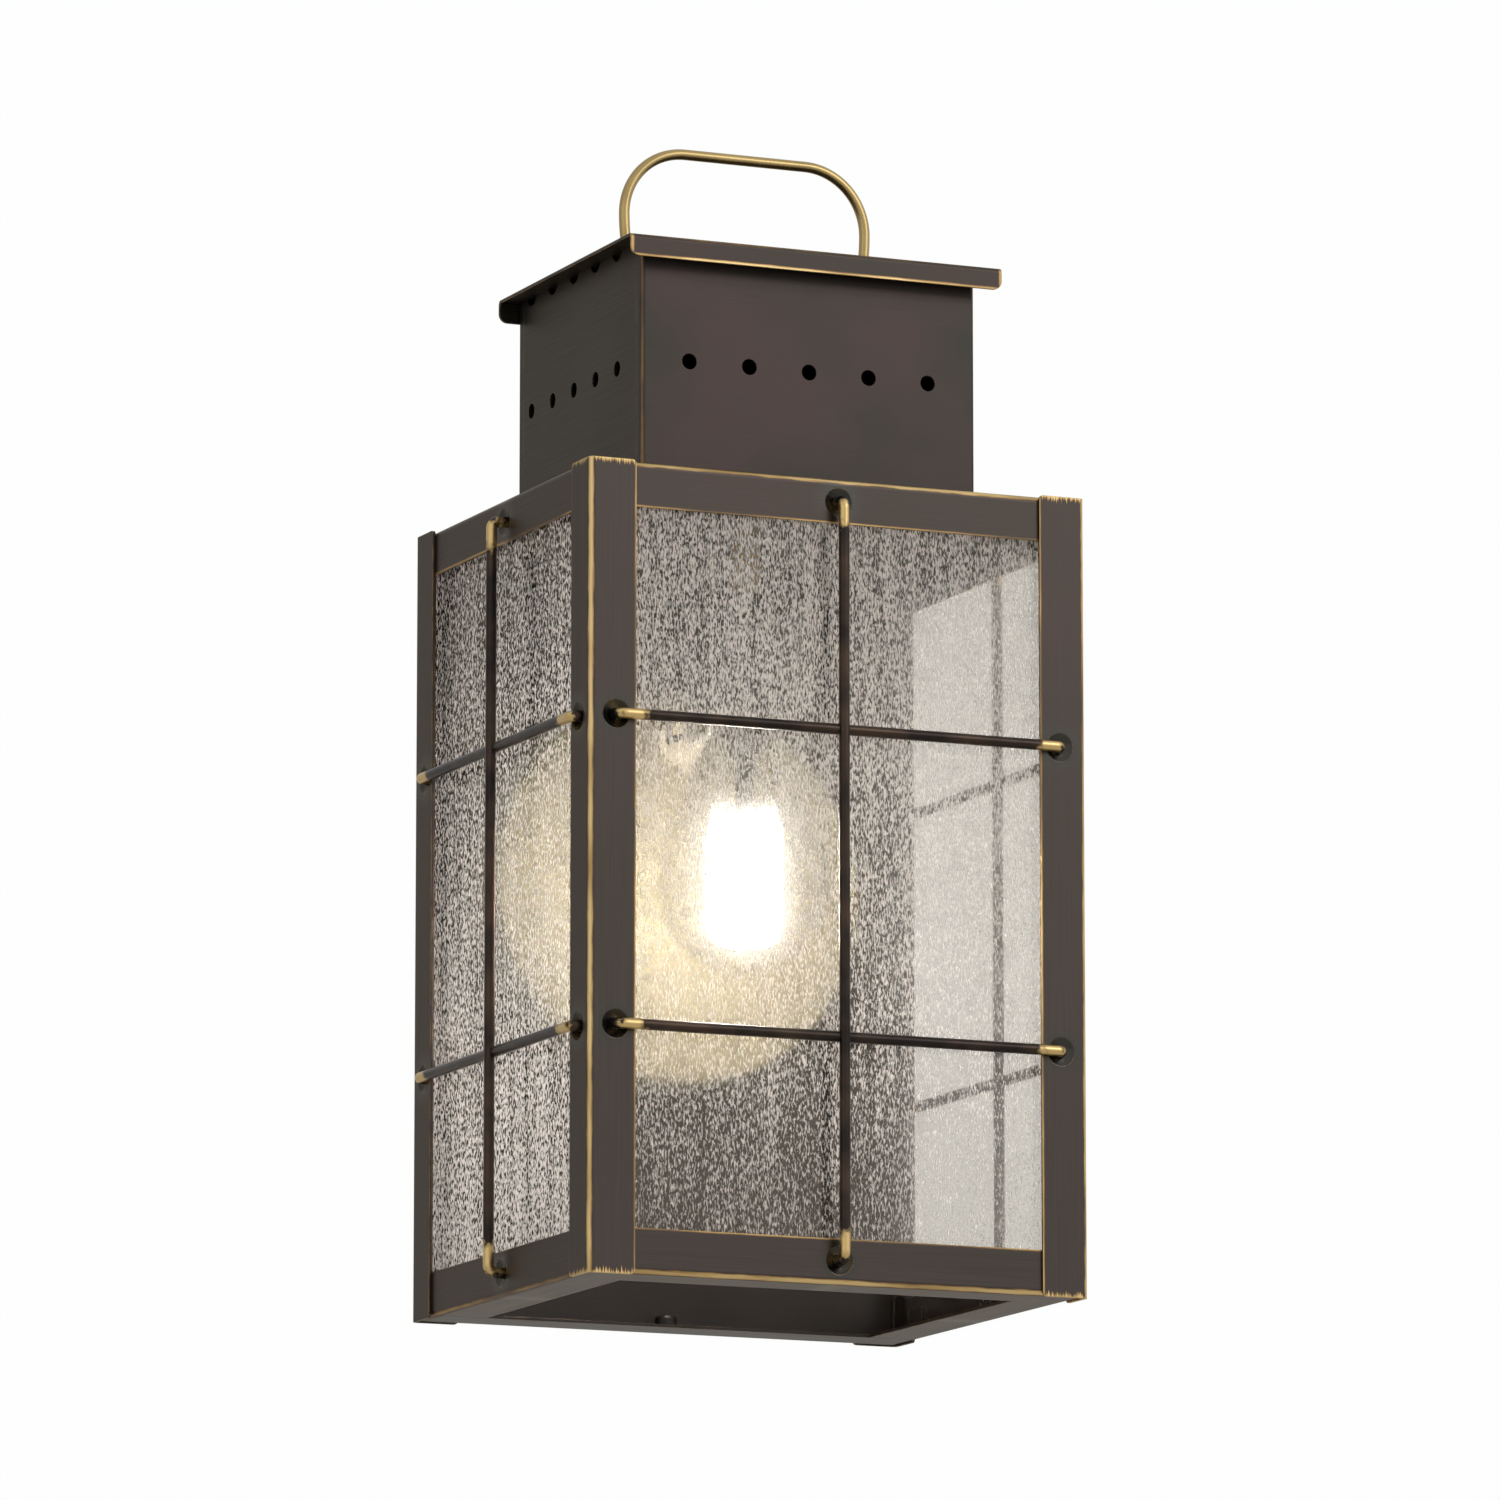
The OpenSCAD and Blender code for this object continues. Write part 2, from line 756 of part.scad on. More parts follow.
// Lip with round lower corners; its outer face is at y = 0 and its head at z = 0
module roof_lip_plate(width) {
    rotate([90, 0, 0]) mirror([0, 0, 1]) linear_extrude(sheet) {
        translate([-width / 2, roof_corner - roof_lip]) square([width, roof_lip - roof_corner - roof_bend]);
        translate([roof_corner - width / 2, -roof_lip]) square([width - 2 * roof_corner, roof_corner]);
        for (x = [-1, 1]) translate([x * (width / 2 - roof_corner), roof_corner - roof_lip])
            circle(roof_corner);
    }
}

module roof() {
    width = vent_w + 2 * roof_side;
    y0 = vent_front_y - roof_front;
    y1 = vent_back_y + roof_bend;
    color(bronze) difference() {
        union() {
            translate([-width / 2, y0 + roof_bend, roof_under_z])
                cube([width, y1 - y0 - 2 * roof_bend, sheet]);
            translate([-width / 2, y0, roof_top_z]) mirror([0, 0, 1]) rotate([90, 0, 90])
                linear_extrude(width) angle_section(2 * roof_bend, 2 * roof_bend, sheet, roof_bend);
            translate([-width / 2, y1, roof_top_z]) mirror([0, 1, 0]) mirror([0, 0, 1])
                rotate([90, 0, 90]) linear_extrude(width)
                    angle_section(2 * roof_bend, 2 * roof_bend, sheet, roof_bend);
            translate([0, y0, roof_top_z]) roof_lip_plate(width);
            translate([0, y1, roof_top_z]) mirror([0, 1, 0]) roof_lip_plate(width);
        }
        at_loop_feet() cylinder(h = 4 * sheet, r = rod_r + fit_gap, center = true);
    }
}

// Carrying loop

module at_loop_feet() {
    for (x = [-loop_foot_x, loop_foot_x]) translate([x, lamp_y, roof_under_z]) children();
}

module carrying_loop() {
    straight = loop_w - 2 * loop_r;
    color(worn_brass) {
        translate([0, lamp_y, roof_top_z + loop_h]) {
            rotate([0, 90, 0]) cylinder(h = straight, r = rod_r, center = true);
            for (side = [0, 1]) mirror([side, 0, 0]) translate([straight / 2, 0, 0])
                rotate([0, 90, 0]) wire_turn(loop_r, 90, rod_r)
                    wire_turn(loop_side_r, asin(loop_drop / loop_side_r), rod_r);
        }
        at_loop_feet() translate([0, 0, sheet - loop_tail]) cylinder(h = loop_tail, r = rod_r);
    }
}

module loop_nuts() {
    color("#8d8a84") at_loop_feet() translate([0, 0, -nut_h]) difference() {
        cylinder(h = nut_h, r = hex_af / sqrt(3), $fn = 6);
        translate([0, 0, -cut]) cylinder(h = nut_h + 2 * cut, r = rod_r + fit_gap);
    }
}

// Pan over the wall box

module box_pan() {
    r = pan_r;
    b = pan_bend;
    depth = pan_reach + pan_seat_y;
    color(bronze) difference() {
        rotate([90, 0, 0]) translate([0, 0, -pan_seat_y]) rotate_extrude() {
            translate([r - sheet, 0]) square([pan_rim + sheet, sheet]);
            translate([r - sheet, 0]) square([sheet, depth - b]);
            translate([0, depth - sheet]) square([r - b, sheet]);
            translate([r - b, depth - b]) difference() {
                intersection() {
                    circle(b);
                    square([b, b]);
                }
                circle(b - sheet);
            }
        }
        for (x = [-stud_x, stud_x]) translate([x, -pan_reach, 0])
            rotate([90, 0, 0]) cylinder(h = 4 * sheet, r = stud_r + 0.3, center = true);
        for (a = [45:90:315]) rotate([0, a, 0]) translate([r + pan_rim / 2, 0, 0])
            rotate([90, 0, 0]) cylinder(h = 12 * sheet, r = screw_r + fit_gap, center = true);
        translate([0, -pan_reach, lead_in_z]) rotate([90, 0, 0])
            cylinder(h = 4 * sheet, r = bushing_r - 1, center = true);
    }
}

module pan_rivets() {
    color(bronze) for (a = [45:90:315]) rotate([0, a, 0]) translate([pan_r + pan_rim / 2, 0, 0])
        rotate([90, 0, 0]) {
            translate([0, 0, sheet]) cylinder(h = 2 * sheet + 0.5, r = screw_r);
            translate([0, 0, 3 * sheet]) intersection() {
                cylinder(h = 1.2, r = 2.6);
                translate([0, 0, -1.8]) sphere(3);
            }
        }
}

module wall_strap() {
    half = strap_l / 2;
    color("#a9a9a6") difference() {
        translate([-half, -strap_t, -strap_w / 2]) cube([strap_l, strap_t, strap_w]);
        for (x = [-slot_spacing / 2, slot_spacing / 2]) translate([x, 0, 0]) {
            translate([-(slot_l - slot_w) / 2, -2 * strap_t, -slot_w / 2])
                cube([slot_l - slot_w, 4 * strap_t, slot_w]);
            for (e = [-1, 1]) translate([e * (slot_l - slot_w) / 2, 0, 0]) rotate([90, 0, 0])
                cylinder(h = 4 * strap_t, r = slot_w / 2, center = true);
        }
        for (x = [-stud_x, stud_x]) translate([x, 0, 0])
            rotate([90, 0, 0]) cylinder(h = 4 * strap_t, r = stud_r + fit_gap, center = true);
        translate([-stud_x / 2, 0, -strap_w / 4])
            rotate([90, 0, 0]) cylinder(h = 4 * strap_t, r = screw_r + fit_gap, center = true);
    }
}

// The studs screw into the strap, stand out through the pan and carry the cap nuts
module wall_studs() {
    color("#a9a9a6") for (x = [-stud_x, stud_x]) translate([x, 0, 0])
        rotate([90, 0, 0]) cylinder(h = pan_reach + stud_proud, r = stud_r);
}

module stud_nuts() {
    color("#a9a9a6") for (x = [-stud_x, stud_x]) translate([x, -strap_t, 0]) rotate([90, 0, 0])
        difference() {
            cylinder(h = nut_h, r = hex_af / sqrt(3), $fn = 6);
            translate([0, 0, -cut]) cylinder(h = nut_h + 2 * cut, r = stud_r + fit_gap);
        }
}

module cap_nuts() {
    color(worn_brass) for (x = [-stud_x, stud_x]) translate([x, -pan_reach, 0]) rotate([90, 0, 0])
        difference() {
            union() {
                cylinder(h = cap_skirt_h, r = cap_skirt_r);
                cylinder(h = cap_hex_h, r = hex_af / sqrt(3), $fn = 6);
                translate([0, 0, cap_hex_h]) intersection() {
                    sphere(cap_dome_r);
                    cylinder(h = cap_nut_h, r = cap_dome_r);
                }
            }
            translate([0, 0, -cut]) cylinder(h = cap_nut_bore + cut, r = stud_r + fit_gap);
        }
}

module earth_screw() {
    color("#3f7a4a") translate([-stud_x / 2, 0, -strap_w / 4]) rotate([90, 0, 0]) {
        cylinder(h = strap_t + 0.5, r = screw_r);
        translate([0, 0, strap_t]) cylinder(h = 2.4, r = 3.6);
    }
}

// Round-headed screw in the back panel's foot flange
module foot_screw() {
    color(bronze_dark) translate([0, knob_y, rail_foot_z]) {
        cylinder(h = sheet + cut, r = screw_r);
        translate([0, 0, sheet]) cylinder(h = knob_h - 0.8, r = knob_r);
        translate([0, 0, sheet + knob_h - 0.8]) cylinder(h = 0.8, r1 = knob_r, r2 = knob_r - 0.6);
    }
}

// Leads

module lead(side) {
    start_z = holder_top_z - cap_t - 4;
    up = lead_run_z - lead_bend - start_z;
    down = lead_run_z - lead_bend - lead_in_z - lead_bend;
    in = lead_in_run - lead_down_run - lead_bend - lead_in_bend;
    translate([side * lead_offset, lamp_y, start_z]) rotate([0, 0, 90 - side * lead_spread])
        wire_run(up, lead_r) wire_turn(lead_bend, 90, lead_r)
            wire_run(lead_down_run - 2 * lead_bend, lead_r) wire_turn(lead_bend, 90, lead_r)
                wire_run(down, lead_r) rotate([0, 0, 180]) wire_turn(lead_bend, 90, lead_r)
                    wire_run(in, lead_r) rotate([0, 0, 180]) wire_turn(lead_in_bend, 90, lead_r)
                        wire_run(lead_in_z - lead_in_bend - connector_z, lead_r);
}

module lead_live() {
    color("#2a2a2a") lead(-1);
}

module lead_neutral() {
    color("#e6e2d8") lead(1);
}

// Lipped bushing along Z for a hole through the sheet
module bushing() {
    cylinder(h = sheet + 2 * bushing_lip, r = bushing_r - 1 - fit_gap, center = true);
    for (s = [-1, 1]) translate([0, 0, s * (sheet + bushing_lip) / 2])
        cylinder(h = bushing_lip, r = bushing_r, center = true);
}

module plate_bushing() {
    x = lead_offset + lead_down_run * sin(lead_spread);
    color("#1f1f1f") translate([0, lead_down_y, plate_top_z - sheet / 2]) difference() {
        bushing();
        for (side = [-1, 1]) translate([side * x, 0, 0])
            cylinder(h = 3 * bushing_lip + sheet, r = lead_r + fit_gap, center = true);
    }
}

module pan_bushing() {
    y = sheet / 2 - pan_reach;
    color("#1f1f1f") difference() {
        translate([0, y, lead_in_z]) rotate([90, 0, 0]) bushing();
        for (side = [-1, 1]) translate([side * lead_offset, lamp_y, lead_in_z])
            rotate([0, 0, -side * lead_spread]) translate([0, y - lamp_y, 0]) rotate([90, 0, 0])
                cylinder(h = 4 * bushing_lip + sheet, r = lead_r + fit_gap, center = true);
    }
}

module wire_connectors() {
    x = lead_offset + lead_in_run * sin(lead_spread);
    color("#c9762f") for (side = [-1, 1])
        translate([side * x, lead_in_y, connector_z + connector_grip - connector_h]) difference() {
            union() {
                cylinder(h = connector_h * 0.7, r1 = connector_r * 0.6, r2 = connector_r);
                translate([0, 0, connector_h * 0.7]) cylinder(h = connector_h * 0.3, r = connector_r);
            }
            translate([0, 0, connector_h - connector_grip])
                cylinder(h = connector_grip + cut, r = lead_r + fit_gap);
        }
}

// Lampholder

module nipple() {
    z0 = holder_top_z - cap_t - 4;
    color(worn_brass) translate([0, lamp_y, z0]) difference() {
        cylinder(h = nipple_top_z - z0, r = nipple_dia / 2);
        translate([0, 0, -cut]) cylinder(h = nipple_top_z - z0 + 2 * cut, r = nipple_dia / 2 - nipple_wall);
    }
}

// Nuts above and below the top plate
module nipple_nuts() {
    color("#8d8a84") for (z = [plate_top_z + washer_t, plate_top_z - sheet - nut_h])
        translate([0, lamp_y, z]) difference() {
            cylinder(h = nut_h, r = (nipple_dia + 4) / sqrt(3), $fn = 6);
            translate([0, 0, -cut]) cylinder(h = nut_h + 2 * cut, r = nipple_dia / 2 + fit_gap);
        }
}

module nipple_washer() {
    color("#8d8a84") translate([0, lamp_y, plate_top_z]) difference() {
        cylinder(h = washer_t, r = nipple_dia);
        translate([0, 0, -cut]) cylinder(h = washer_t + 2 * cut, r = nipple_dia / 2 + fit_gap);
    }
}

module holder_cap() {
    color(bronze) translate([0, lamp_y, holder_top_z - cap_h]) difference() {
        cylinder(h = cap_h, r = holder_r + cap_t);
        translate([0, 0, -cut]) cylinder(h = cap_h - cap_t + cut, r = holder_r + fit_gap);
        cylinder(h = cap_h + cut, r = nipple_dia / 2 + fit_gap);
    }
}

module holder_body() {
    color("#e9e4da") translate([0, lamp_y, holder_foot_z]) difference() {
        cylinder(h = holder_h, r = holder_r);
        translate([0, 0, -cut]) cylinder(h = holder_bore_h + cut, r = shell_r + shell_t + fit_gap);
        translate([0, 0, holder_bore_h - cut]) cylinder(h = holder_h, r = nipple_dia / 2 + 1);
    }
}

module screw_shell() {
    color(worn_brass) translate([0, lamp_y, holder_foot_z + 1]) difference() {
        cylinder(h = base_h, r = shell_r + shell_t);
        translate([0, 0, -cut]) cylinder(h = base_h + 2 * cut, r = shell_r);
    }
}

// Contact that the lamp's tip presses, on a disc against the end of the bore
module centre_contact() {
    top_z = holder_foot_z + holder_bore_h;
    color(worn_brass) {
        translate([0, lamp_y, tip_z]) cylinder(h = top_z - tip_z - 0.4, r = 3.5);
        translate([0, lamp_y, top_z - 0.8]) cylinder(h = 0.8, r = contact_disc_r);
    }
}

// Lamp

module lamp_tip() {
    color("#b9b4a6") translate([0, lamp_y, tip_z - tip_h]) {
        cylinder(h = tip_h - 0.6, r = 4.6);
        translate([0, 0, tip_h - 0.6]) cylinder(h = 0.6, r1 = 4.6, r2 = 3.4);
    }
}

module lamp_insulator() {
    color("#232326") translate([0, lamp_y, base_top_z])
        cylinder(h = insulator_h, r1 = base_r - 2.4, r2 = 6);
}

// Screw base with rolled rings in place of the helix
module lamp_base() {
    pitch = 3.63;
    depth = 0.7;
    rings = floor((base_h - 3) / pitch);
    color("#c4c0b4") translate([0, lamp_y, base_foot_z]) difference() {
        union() {
            cylinder(h = base_h - 1.5, r = base_r);
            translate([0, 0, base_h - 1.5]) cylinder(h = 1.5, r1 = base_r, r2 = base_r - 1.6);
        }
        translate([0, 0, -cut]) cylinder(h = base_h - 1 + cut, r = base_r - base_wall);
        for (i = [1:rings]) translate([0, 0, i * pitch]) rotate_extrude()
            translate([base_r + 0.6, 0]) circle(depth + 0.6, $fn = 24);
    }
}

// Outline of the glass, r across and z down from the light centre, for a wall set in by inset
lamp_neck_drop = base_foot_z - 0.3 - (light_z - 3);
lamp_flank = atan2(lamp_neck_drop, neck_r) - acos(lamp_r / sqrt(lamp_neck_drop ^ 2 + neck_r ^ 2));
function lamp_outline(inset) = concat(
    [for (a = [-90:6:lamp_flank]) [(lamp_r - inset) * cos(a), (lamp_r - inset) * sin(a)]],
    [[neck_r - inset, lamp_neck_drop], [neck_r - inset, lamp_neck_drop + 2.4]]);

module lamp_glass() {
    outer = lamp_outline(0);
    inner = lamp_outline(lamp_t);
    ring = concat(outer, [for (i = [len(inner) - 1:-1:0]) inner[i]]);
    color(lamp_tint) translate([0, lamp_y, light_z - 3]) rotate_extrude() polygon(ring);
}

module lamp_stem() {
    core_top_z = light_z + core_h / 2;
    color(lamp_tint) translate([0, lamp_y, 0]) {
        translate([0, 0, core_top_z]) cylinder(h = base_foot_z - core_top_z, r = stem_r);
        translate([0, 0, base_foot_z - stem_flare_h])
            cylinder(h = stem_flare_h + 4, r1 = stem_r, r2 = base_r - base_wall - fit_gap);
    }
}

// Half outline of the lit core with round corners, set in by inset
module core_outline(inset) {
    r = core_corner - inset;
    w = core_r - inset;
    h = core_h / 2 - inset;
    translate([0, -h]) square([w - r, 2 * h]);
    translate([0, r - h]) square([w, 2 * (h - r)]);
    for (s = [-1, 1]) translate([w - r, s * (h - r)]) circle(r);
}

// Frosted inner bulb that is lit from inside and hangs on the stem
module lamp_core() {
    color("#ffe2a8") translate([0, lamp_y, light_z]) rotate_extrude() difference() {
        core_outline(0);
        core_outline(core_t);
    }
}

post_front_left();
post_front_right();
post_back_left();
post_back_right();
foot_rail_front();
foot_rail_left();
foot_rail_right();
head_rail_front();
head_rail_left();
head_rail_right();
back_panel();
top_plate();
pane_front();
pane_left();
pane_right();
glass_clips();
rod_front_upright();
rod_front_upper();
rod_front_lower();
rod_left_upright();
rod_left_upper();
rod_left_lower();
rod_right_upright();
rod_right_upper();
rod_right_lower();
vent_front();
vent_back();
vent_left();
vent_right();
vent_screws();
roof();
carrying_loop();
loop_nuts();
box_pan();
pan_rivets();
wall_strap();
wall_studs();
stud_nuts();
cap_nuts();
earth_screw();
foot_screw();
wire_connectors();
lead_live();
lead_neutral();
plate_bushing();
pan_bushing();
nipple();
nipple_nuts();
nipple_washer();
holder_cap();
holder_body();
screw_shell();
centre_contact();
lamp_tip();
lamp_insulator();
lamp_base();
lamp_stem();
lamp_core();
lamp_glass();
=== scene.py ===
import bpy
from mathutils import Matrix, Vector

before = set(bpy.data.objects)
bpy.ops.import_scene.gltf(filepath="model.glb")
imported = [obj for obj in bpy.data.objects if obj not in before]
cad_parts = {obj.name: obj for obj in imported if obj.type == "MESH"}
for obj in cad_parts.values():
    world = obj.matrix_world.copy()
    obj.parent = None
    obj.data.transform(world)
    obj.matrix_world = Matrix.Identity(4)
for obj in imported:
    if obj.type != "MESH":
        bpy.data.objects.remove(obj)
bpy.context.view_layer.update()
bpy.ops.object.select_all(action="DESELECT")

MM = 0.001

# The lantern's own measures, in metres. X runs to its left and right, Y is 0 at the wall and less
# toward the front, and Z runs up.
FOOT, HEAD = -0.15, 0.117
POST_X, POST_FRONT = 0.089, -0.152
POST_INNER_X = 0.0725
RAIL_X, RAIL_FRONT = POST_X - 1 * MM, POST_FRONT + 1 * MM
RAIL_FOOT, RAIL_HEAD = FOOT + 0.3 * MM, HEAD - 0.3 * MM
FOOT_RAIL_TOP, HEAD_RAIL_FOOT = -0.1347, 0.1017
PANE_FRONT, PANE_SIDE = 0.1483, 0.0853
VENT_X, VENT_FRONT = 0.0605, -0.1274
ROOF_X, ROOF_FRONT = 0.0672, -0.1347
ROOF_LIP_FOOT, ROOF_LIP_HEAD = 0.1895, 0.197
PAN_COAT_R = 0.0682
CORE_Z, CORE_HALF = -0.0053, 0.0225

# The guard rods: how high the level ones are, and where all of them turn in through their dimples
ROD_LOW, ROD_HIGH = -0.069, 0.0325
FRONT_ROD_END = 0.0795
SIDE_ROD_FRONT, SIDE_ROD_BACK = -0.1425, -0.0095
SIDE_MIDDLE = (SIDE_ROD_FRONT + SIDE_ROD_BACK) / 2
UPRIGHT_FOOT, UPRIGHT_HEAD = -0.1418, 0.1088

# Nearly all values of a noise lie between these two
LOW, HIGH = 0.3, 0.7


# Materials

def linear(code):
    """Linear colour of an sRGB hex code."""
    parts = [int(code[i:i + 2], 16) / 255 for i in (0, 2, 4)]
    return [c / 12.92 if c <= 0.04045 else ((c + 0.055) / 1.055) ** 2.4 for c in parts] + [1]


def add(tree, kind, sockets=(), **settings):
    """Adds a node, sets it, and fills its sockets with values or with other nodes' outputs."""
    made = tree.nodes.new("ShaderNode" + kind)
    for name, value in settings.items():
        setattr(made, name, value)
    for name, value in dict(sockets).items():
        if isinstance(value, bpy.types.NodeSocket):
            tree.links.new(value, made.inputs[name])
        else:
            made.inputs[name].default_value = value
    return made


def new_material(name):
    made = bpy.data.materials.new(name)
    made.use_nodes = True
    made.node_tree.nodes.clear()
    return made, made.node_tree


def surface(tree, shader):
    out = add(tree, "OutputMaterial")
    tree.links.new(shader, out.inputs["Surface"])


def dress(names, material):
    """Gives CAD nodes a material."""
    for name in names:
        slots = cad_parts[name].data.materials
        slots.clear()
        slots.append(material)


def mirrored_place(tree):
    """Object coordinates, and their three axes with X folded about the lantern's middle."""
    place = add(tree, "TexCoord").outputs["Object"]
    split = add(tree, "SeparateXYZ", {0: place})
    side = add(tree, "Math", {0: split.outputs[0]}, operation="ABSOLUTE")
    return place, {"X": side.outputs[0], "Y": split.outputs[1], "Z": split.outputs[2]}


def distance(tree, first, second, at):
    """Distance from a line that runs square to two axes and meets their plane at one point."""
    a = add(tree, "Math", {0: first, 1: at[0]}, operation="SUBTRACT").outputs[0]
    b = add(tree, "Math", {0: second, 1: at[1]}, operation="SUBTRACT").outputs[0]
    a2 = add(tree, "Math", {0: a, 1: a}, operation="MULTIPLY").outputs[0]
    sum2 = add(tree, "Math", {0: b, 1: b, 2: a2}, operation="MULTIPLY_ADD").outputs[0]
    return add(tree, "Math", {0: sum2}, operation="SQRT").outputs[0]


def mottled(tree, code, scale, detail, spread):
    """A colour made unevenly light by a noise: the coordinates, the noise and the colour."""
    place = add(tree, "TexCoord").outputs["Object"]
    cloud = add(tree, "TexNoise", {"Vector": place, "Scale": scale, "Detail": detail}).outputs[0]
    lit = add(tree, "MapRange",
              {0: cloud, 1: LOW, 2: HIGH, 3: 1 - spread, 4: 1 + spread}).outputs[0]
    colour = add(tree, "Mix", {0: 1, 6: linear(code), 7: lit},
                 data_type="RGBA", blend_type="MULTIPLY").outputs[2]
    return place, cloud, colour


def rubbed_edge(tree, place, axes, along, at, width, strength):
    """How far the patina is rubbed off beside one edge, from 0 to 1."""
    first, second = [a for a in "XYZ" if a != along]
    far = distance(tree, axes[first], axes[second], at)
    # Rubbing runs in strokes of about 8 mm along the edge and 1 mm across it
    stretch = [900, 900, 900]
    stretch["XYZ".index(along)] = 130
    stroke = add(tree, "Mapping", {"Vector": place, "Scale": stretch}).outputs[0]
    ragged = add(tree, "TexNoise", {"Vector": stroke, "Scale": 1, "Detail": 3}).outputs[0]
    reach = add(tree, "MapRange",
                {0: ragged, 1: LOW, 2: HIGH, 3: width * 0.9, 4: width * 1.1}).outputs[0]
    # and comes and goes over 40 mm or so
    spell = add(tree, "TexNoise", {"Vector": place, "Scale": 22, "Detail": 1}).outputs[0]
    spell = add(tree, "MapRange",
                {0: spell, 1: 0.35, 2: 0.55, 3: strength * 0.45, 4: strength}).outputs[0]
    near = add(tree, "Math", {0: reach, 1: far}, operation="SUBTRACT").outputs[0]
    return add(tree, "MapRange", {0: near, 1: 0, 2: 0.8 * MM, 3: 0, 4: spell}).outputs[0]


def scratched_end(tree, place, axes, ends, strength):
    """Short upright scratches, 1 to 3 mm long, at the posts' two ends."""
    stroke = add(tree, "Mapping", {"Vector": place, "Scale": (2800, 2800, 90)}).outputs[0]
    comb = add(tree, "TexNoise", {"Vector": stroke, "Scale": 1, "Detail": 3}).outputs[0]
    reach = add(tree, "MapRange",
                {0: comb, 1: 0.42, 2: 0.78, 3: 0.9 * MM, 4: 3.2 * MM}).outputs[0]
    low = add(tree, "Math", {0: axes["Z"], 1: ends[0]}, operation="SUBTRACT").outputs[0]
    high = add(tree, "Math", {0: ends[1], 1: axes["Z"]}, operation="SUBTRACT").outputs[0]
    far = add(tree, "Math", {0: low, 1: high}, operation="MINIMUM").outputs[0]
    near = add(tree, "Math", {0: reach, 1: far}, operation="SUBTRACT").outputs[0]
    return add(tree, "MapRange", {0: near, 1: 0, 2: 1.4 * MM, 3: 0, 4: strength}).outputs[0]


def dark_dimple(tree, axes, across, at):
    """Patina left thick in and around a pressed dimple, from 0 to 0.9."""
    far = distance(tree, axes[across], axes["Z"], at)
    return add(tree, "MapRange", {0: far, 1: 4.5 * MM, 2: 9.5 * MM, 3: 0.9, 4: 0}).outputs[0]


